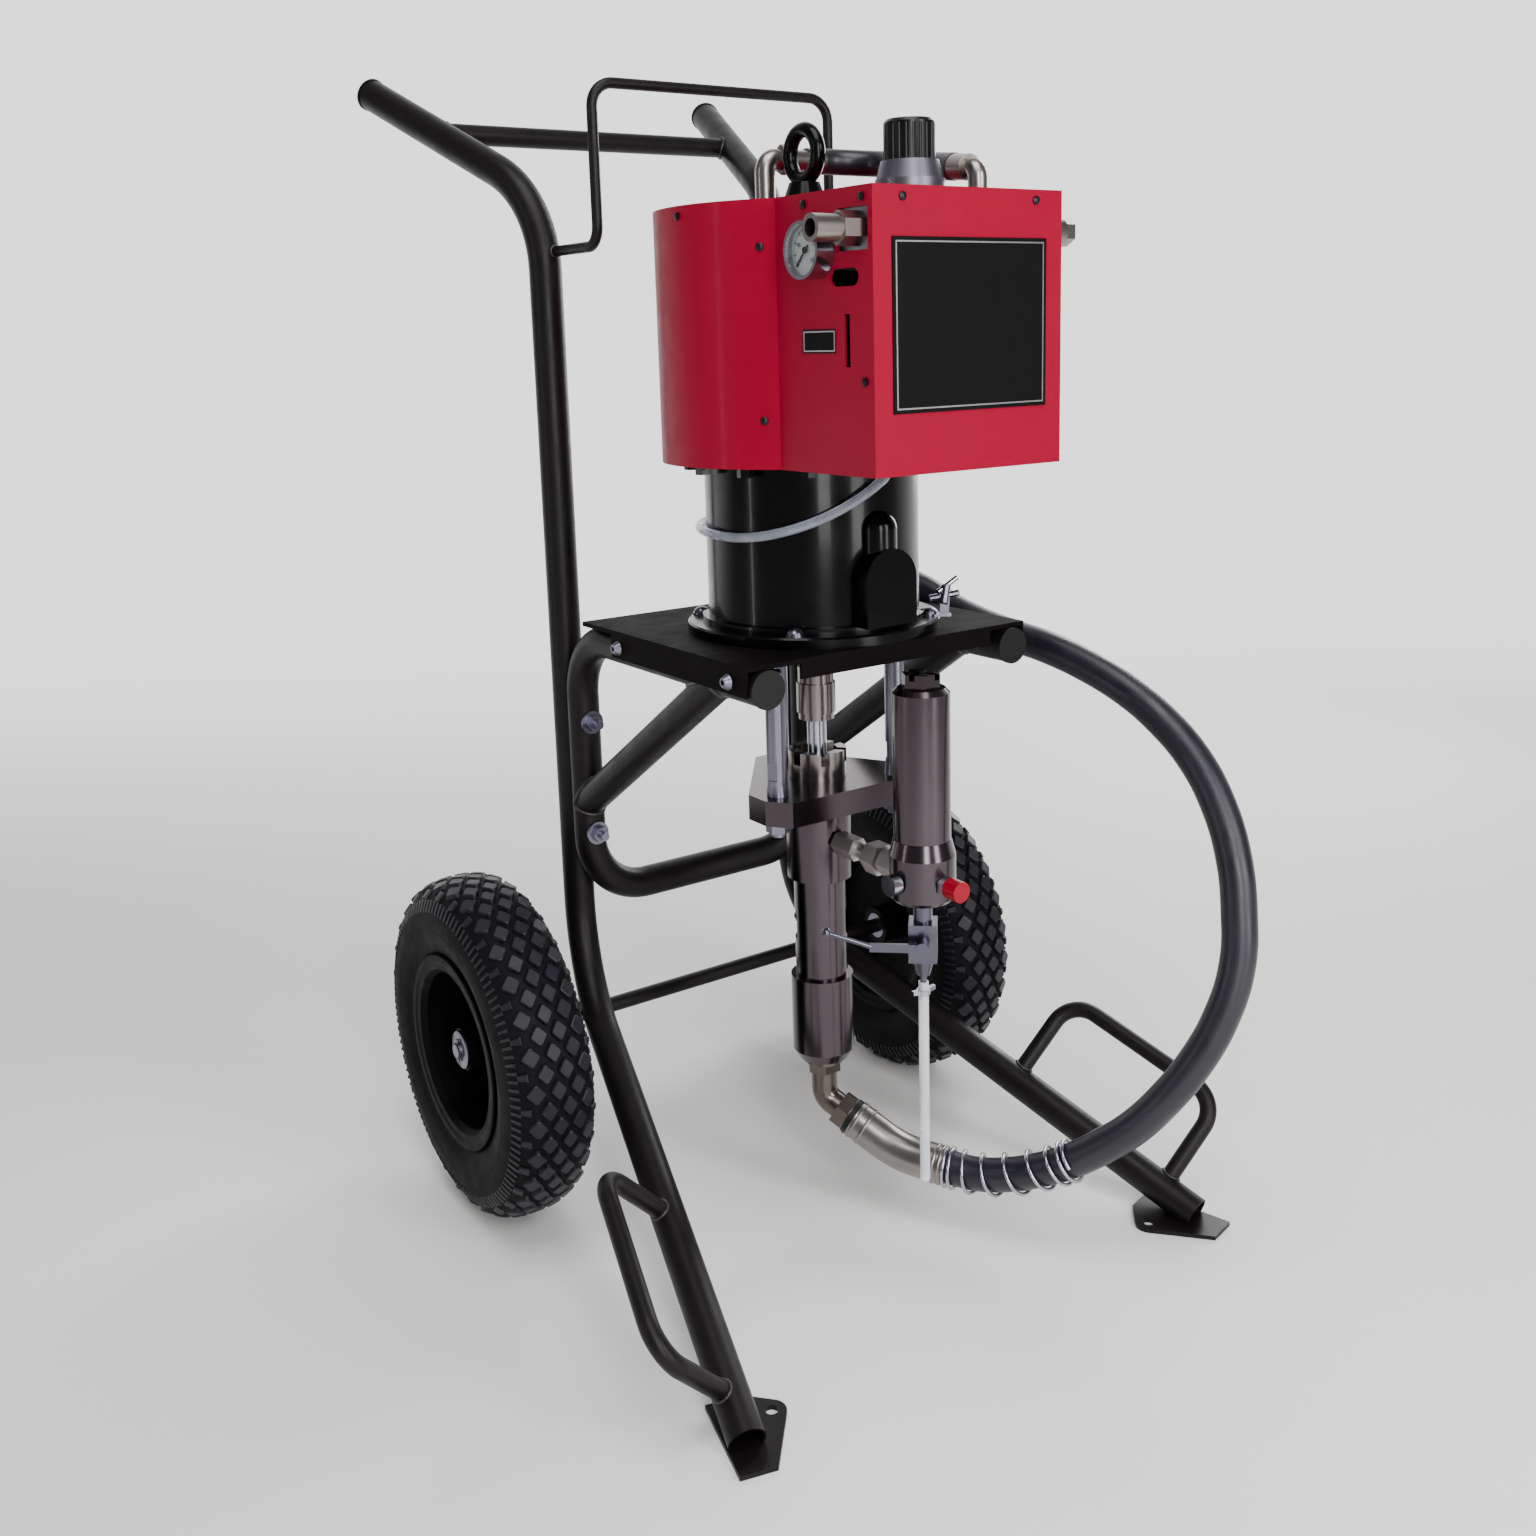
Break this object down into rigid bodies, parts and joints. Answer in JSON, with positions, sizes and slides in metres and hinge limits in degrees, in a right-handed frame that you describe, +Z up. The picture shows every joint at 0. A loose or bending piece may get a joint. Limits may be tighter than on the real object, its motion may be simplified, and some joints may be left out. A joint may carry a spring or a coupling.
{
  "type": "airless paint sprayer",
  "caption": "Air-driven piston paint pump under a red-shrouded air motor, on a tubular cart with tall handles, air tyres, splayed legs, filter, gauge and suction hose.",
  "frame": {"origin": "middle of the cart's base on the floor, measured without the hoses that lie free", "axes": "+Z up, front with pump and feet towards -Y, handles towards +Y, +X to the cart's right seen from the front facing back"},
  "size_m": [0.7802, 0.9884, 1.3504],
  "materials": {
    "frame_paint": "satin powder coat",
    "black_plastic": "moulded",
    "zinc_steel": "zinc plated",
    "tyre_rubber": "moulded tread",
    "rim_paint": "satin paint",
    "motor_black": "gloss paint",
    "motor_alloy": "machined",
    "red_paint": "gloss powder coat",
    "screw_steel": "blackened",
    "plate_metal": "printed plate, bare",
    "chrome_steel": "bright",
    "hose_rubber": "smooth",
    "regulator_alloy": "cast, satin",
    "knob_plastic": "gloss",
    "lens_glass": "clear",
    "pump_steel": "dark satin steel",
    "nickel_brass": "nickel plated, worn",
    "sleeve_steel": "crimped",
    "red_plastic": "moulded",
    "clear_tube": "clear",
    "drain_plastic": "clear"
  },
  "bodies": {
    "frame": {"left_frame_tube": "frame_paint", "right_frame_tube": "frame_paint", "handle_crossbar": "frame_paint", "hose_hanger": "frame_paint", "tube_plugs": "black_plastic", "carrier_frame": "frame_paint", "platform_plate": "frame_paint", "frame_bolts": "zinc_steel", "leg_hoops": "frame_paint", "foot_plates": "frame_paint", "axle": "frame_paint", "motor_base": "motor_black", "motor_cylinder": "motor_black", "motor_head": "motor_black", "transfer_manifold": "motor_black", "pilot_tube": "clear_tube", "shroud_wrap": "red_paint", "shroud_front": "red_paint", "shroud_top": "red_paint", "shroud_screws": "screw_steel", "label_plates": "plate_metal", "lifting_eye": "motor_black", "air_manifold": "motor_alloy", "air_fittings": "chrome_steel", "air_hose": "hose_rubber", "regulator_body": "regulator_alloy", "gauge_case": "chrome_steel", "gauge_lens": "lens_glass", "tie_rods": "zinc_steel", "yoke_plate": "pump_steel", "packing_nut": "pump_steel", "upper_cylinder": "pump_steel", "lower_cylinder": "pump_steel", "foot_valve": "pump_steel", "inlet_elbow": "nickel_brass", "hose_sleeve": "sleeve_steel", "spring_guard": "zinc_steel", "suction_hose": "hose_rubber", "suction_fitting": "sleeve_steel", "outlet_union": "nickel_brass", "filter_bowl": "pump_steel", "filter_base": "pump_steel", "filter_element": "zinc_steel", "outlet_fitting": "chrome_steel", "drain_valve": "chrome_steel", "drain_tube": "drain_plastic"},
    "left_wheel": {"left_tyre": "tyre_rubber", "left_rim": "rim_paint", "left_bearings": "zinc_steel"},
    "right_wheel": {"right_tyre": "tyre_rubber", "right_rim": "rim_paint", "right_bearings": "zinc_steel"},
    "pump_rod": {"air_piston": "motor_alloy", "rod_coupling": "nickel_brass", "displacement_rod": "chrome_steel"},
    "knob": {"regulator_knob": "knob_plastic"},
    "needle": {"gauge_needle": "black_plastic"},
    "lever": {"drain_lever": "chrome_steel"},
    "cap": {"outlet_cap": "red_plastic"},
    "ball": {"intake_ball": "chrome_steel"}
  },
  "joints": [
    {"name": "left_wheel_spin", "type": "hinge", "parent": "frame", "child": "left_wheel", "pos_m": [-0.312, 0.12616, 0.203], "axis": [1, 0, 0], "continuous": true},
    {"name": "right_wheel_spin", "type": "hinge", "parent": "frame", "child": "right_wheel", "pos_m": [0.312, 0.12616, 0.203], "axis": [1, 0, 0], "continuous": true},
    {"name": "pump_stroke", "type": "slide", "parent": "frame", "child": "pump_rod", "axis": [0, 0, 1], "range_m": [-0.03, 0.042]},
    {"name": "regulator_turn", "type": "hinge", "parent": "frame", "child": "knob", "pos_m": [0.031, -0.26384, 1.21], "axis": [0, 0, 1], "range_deg": [-540, 540]},
    {"name": "gauge_pointer", "type": "hinge", "parent": "frame", "child": "needle", "pos_m": [-0.131, -0.30784, 1.1], "axis": [1, 0, 0], "range_deg": [0, 270], "stiffness_Nm_per_rad": 0.0002, "springref_deg": -34.38},
    {"name": "drain_lever_turn", "type": "hinge", "parent": "frame", "child": "lever", "pos_m": [0, -0.31084, 0.394], "axis": [-0.6691, -0.7431, 0], "range_deg": [0, 90]},
    {"name": "outlet_cap_pull", "type": "slide", "parent": "frame", "child": "cap", "axis": [0, -1, 0], "range_m": [0, 0.03]},
    {"name": "intake_ball_lift", "type": "slide", "parent": "frame", "child": "ball", "axis": [0, 0, 1], "range_m": [0, 0.005]}
  ]
}
